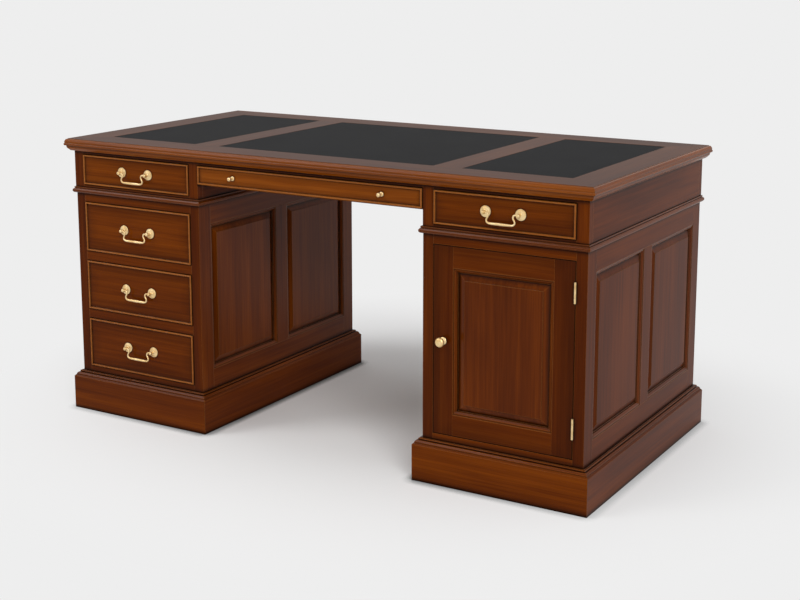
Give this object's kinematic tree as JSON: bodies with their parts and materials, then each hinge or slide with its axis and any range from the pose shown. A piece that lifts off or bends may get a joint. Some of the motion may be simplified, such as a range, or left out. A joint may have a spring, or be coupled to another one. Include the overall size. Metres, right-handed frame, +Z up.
{
  "type": "partners desk",
  "caption": "Pedestal desk for a user at either side, with drawers, panelled cupboards, a kneehole, a leather inset top and brass drop handles.",
  "frame": {"origin": "on the floor under the middle of the desk", "axes": "+X along the front from left to right as the user at the front sees it, +Y from the front to the rear, +Z up; the front faces -Y"},
  "size_m": [1.6, 0.804, 0.78],
  "materials": {
    "mahogany": "satin polish",
    "inner_wood": "plain",
    "leather": "matte hide",
    "brass": "satin, a little tarnished"
  },
  "bodies": {
    "carcase": {"top_border": "mahogany", "top_crossbands": "mahogany", "top_ground_boards": "inner_wood", "top_leathers": "leather", "frieze_posts": "mahogany", "frieze_side_boards": "mahogany", "frieze_rails": "mahogany", "frieze_partitions": "inner_wood", "waist_mouldings": "mahogany", "pedestal_stiles": "mahogany", "pedestal_side_rails": "mahogany", "pedestal_side_panels": "mahogany", "panel_mouldings": "mahogany", "pedestal_front_rails": "mahogany", "pedestal_inner_boards": "inner_wood", "drawer_runners": "inner_wood", "plinths": "mahogany", "base_mouldings": "mahogany", "door_fittings": "brass"},
    "front_low_pedestal_drawer": {"front_low_pedestal_drawer": "mahogany", "front_low_pedestal_handle_posts": "brass"},
    "front_low_pedestal_bail": {"front_low_pedestal_bail": "brass"},
    "front_middle_pedestal_drawer": {"front_middle_pedestal_drawer": "mahogany", "front_middle_pedestal_handle_posts": "brass"},
    "front_middle_pedestal_bail": {"front_middle_pedestal_bail": "brass"},
    "front_high_pedestal_drawer": {"front_high_pedestal_drawer": "mahogany", "front_high_pedestal_handle_posts": "brass"},
    "front_high_pedestal_bail": {"front_high_pedestal_bail": "brass"},
    "front_left_frieze_drawer": {"front_left_frieze_drawer": "mahogany", "front_left_frieze_handle_posts": "brass"},
    "front_left_frieze_bail": {"front_left_frieze_bail": "brass"},
    "front_right_frieze_drawer": {"front_right_frieze_drawer": "mahogany", "front_right_frieze_handle_posts": "brass"},
    "front_right_frieze_bail": {"front_right_frieze_bail": "brass"},
    "front_centre_drawer": {"front_centre_drawer": "mahogany", "front_centre_knobs": "brass"},
    "front_door": {"front_door_frame": "mahogany", "front_door_panel": "mahogany", "front_door_brass": "brass"},
    "rear_low_pedestal_drawer": {"rear_low_pedestal_drawer": "mahogany", "rear_low_pedestal_handle_posts": "brass"},
    "rear_low_pedestal_bail": {"rear_low_pedestal_bail": "brass"},
    "rear_middle_pedestal_drawer": {"rear_middle_pedestal_drawer": "mahogany", "rear_middle_pedestal_handle_posts": "brass"},
    "rear_middle_pedestal_bail": {"rear_middle_pedestal_bail": "brass"},
    "rear_high_pedestal_drawer": {"rear_high_pedestal_drawer": "mahogany", "rear_high_pedestal_handle_posts": "brass"},
    "rear_high_pedestal_bail": {"rear_high_pedestal_bail": "brass"},
    "rear_left_frieze_drawer": {"rear_left_frieze_drawer": "mahogany", "rear_left_frieze_handle_posts": "brass"},
    "rear_left_frieze_bail": {"rear_left_frieze_bail": "brass"},
    "rear_right_frieze_drawer": {"rear_right_frieze_drawer": "mahogany", "rear_right_frieze_handle_posts": "brass"},
    "rear_right_frieze_bail": {"rear_right_frieze_bail": "brass"},
    "rear_centre_drawer": {"rear_centre_drawer": "mahogany", "rear_centre_knobs": "brass"},
    "rear_door": {"rear_door_frame": "mahogany", "rear_door_panel": "mahogany", "rear_door_brass": "brass"}
  },
  "joints": [
    {"name": "front_low_pedestal_drawer_slide", "type": "slide", "parent": "carcase", "child": "front_low_pedestal_drawer", "axis": [0, -1, 0], "range_m": [0, 0.26]},
    {"name": "front_low_pedestal_bail_swing", "type": "hinge", "parent": "front_low_pedestal_drawer", "child": "front_low_pedestal_bail", "pos_m": [-0.561, -0.391, 0.199], "axis": [-1, 0, 0], "range_deg": [-20, 150]},
    {"name": "front_middle_pedestal_drawer_slide", "type": "slide", "parent": "carcase", "child": "front_middle_pedestal_drawer", "axis": [0, -1, 0], "range_m": [0, 0.26]},
    {"name": "front_middle_pedestal_bail_swing", "type": "hinge", "parent": "front_middle_pedestal_drawer", "child": "front_middle_pedestal_bail", "pos_m": [-0.561, -0.391, 0.3667], "axis": [-1, 0, 0], "range_deg": [-20, 150]},
    {"name": "front_high_pedestal_drawer_slide", "type": "slide", "parent": "carcase", "child": "front_high_pedestal_drawer", "axis": [0, -1, 0], "range_m": [0, 0.26]},
    {"name": "front_high_pedestal_bail_swing", "type": "hinge", "parent": "front_high_pedestal_drawer", "child": "front_high_pedestal_bail", "pos_m": [-0.561, -0.391, 0.5344], "axis": [-1, 0, 0], "range_deg": [-20, 150]},
    {"name": "front_left_frieze_drawer_slide", "type": "slide", "parent": "carcase", "child": "front_left_frieze_drawer", "axis": [0, -1, 0], "range_m": [0, 0.26]},
    {"name": "front_left_frieze_bail_swing", "type": "hinge", "parent": "front_left_frieze_drawer", "child": "front_left_frieze_bail", "pos_m": [-0.561, -0.393, 0.6965], "axis": [-1, 0, 0], "range_deg": [-20, 150]},
    {"name": "front_right_frieze_drawer_slide", "type": "slide", "parent": "carcase", "child": "front_right_frieze_drawer", "axis": [0, -1, 0], "range_m": [0, 0.26]},
    {"name": "front_right_frieze_bail_swing", "type": "hinge", "parent": "front_right_frieze_drawer", "child": "front_right_frieze_bail", "pos_m": [0.561, -0.393, 0.6965], "axis": [-1, 0, 0], "range_deg": [-20, 150]},
    {"name": "front_centre_drawer_slide", "type": "slide", "parent": "carcase", "child": "front_centre_drawer", "axis": [0, -1, 0], "range_m": [0, 0.26]},
    {"name": "front_door_hinge", "type": "hinge", "parent": "carcase", "child": "front_door", "pos_m": [0.74775, -0.3796, 0.3647], "axis": [0, 0, 1], "range_deg": [0, 105]},
    {"name": "rear_low_pedestal_drawer_slide", "type": "slide", "parent": "carcase", "child": "rear_low_pedestal_drawer", "axis": [0, 1, 0], "range_m": [0, 0.26]},
    {"name": "rear_low_pedestal_bail_swing", "type": "hinge", "parent": "rear_low_pedestal_drawer", "child": "rear_low_pedestal_bail", "pos_m": [0.561, 0.391, 0.199], "axis": [1, 0, 0], "range_deg": [-20, 150]},
    {"name": "rear_middle_pedestal_drawer_slide", "type": "slide", "parent": "carcase", "child": "rear_middle_pedestal_drawer", "axis": [0, 1, 0], "range_m": [0, 0.26]},
    {"name": "rear_middle_pedestal_bail_swing", "type": "hinge", "parent": "rear_middle_pedestal_drawer", "child": "rear_middle_pedestal_bail", "pos_m": [0.561, 0.391, 0.3667], "axis": [1, 0, 0], "range_deg": [-20, 150]},
    {"name": "rear_high_pedestal_drawer_slide", "type": "slide", "parent": "carcase", "child": "rear_high_pedestal_drawer", "axis": [0, 1, 0], "range_m": [0, 0.26]},
    {"name": "rear_high_pedestal_bail_swing", "type": "hinge", "parent": "rear_high_pedestal_drawer", "child": "rear_high_pedestal_bail", "pos_m": [0.561, 0.391, 0.5344], "axis": [1, 0, 0], "range_deg": [-20, 150]},
    {"name": "rear_left_frieze_drawer_slide", "type": "slide", "parent": "carcase", "child": "rear_left_frieze_drawer", "axis": [0, 1, 0], "range_m": [0, 0.26]},
    {"name": "rear_left_frieze_bail_swing", "type": "hinge", "parent": "rear_left_frieze_drawer", "child": "rear_left_frieze_bail", "pos_m": [0.561, 0.393, 0.6965], "axis": [1, 0, 0], "range_deg": [-20, 150]},
    {"name": "rear_right_frieze_drawer_slide", "type": "slide", "parent": "carcase", "child": "rear_right_frieze_drawer", "axis": [0, 1, 0], "range_m": [0, 0.26]},
    {"name": "rear_right_frieze_bail_swing", "type": "hinge", "parent": "rear_right_frieze_drawer", "child": "rear_right_frieze_bail", "pos_m": [-0.561, 0.393, 0.6965], "axis": [1, 0, 0], "range_deg": [-20, 150]},
    {"name": "rear_centre_drawer_slide", "type": "slide", "parent": "carcase", "child": "rear_centre_drawer", "axis": [0, 1, 0], "range_m": [0, 0.26]},
    {"name": "rear_door_hinge", "type": "hinge", "parent": "carcase", "child": "rear_door", "pos_m": [-0.74775, 0.3796, 0.3647], "axis": [0, 0, 1], "range_deg": [0, 105]}
  ]
}
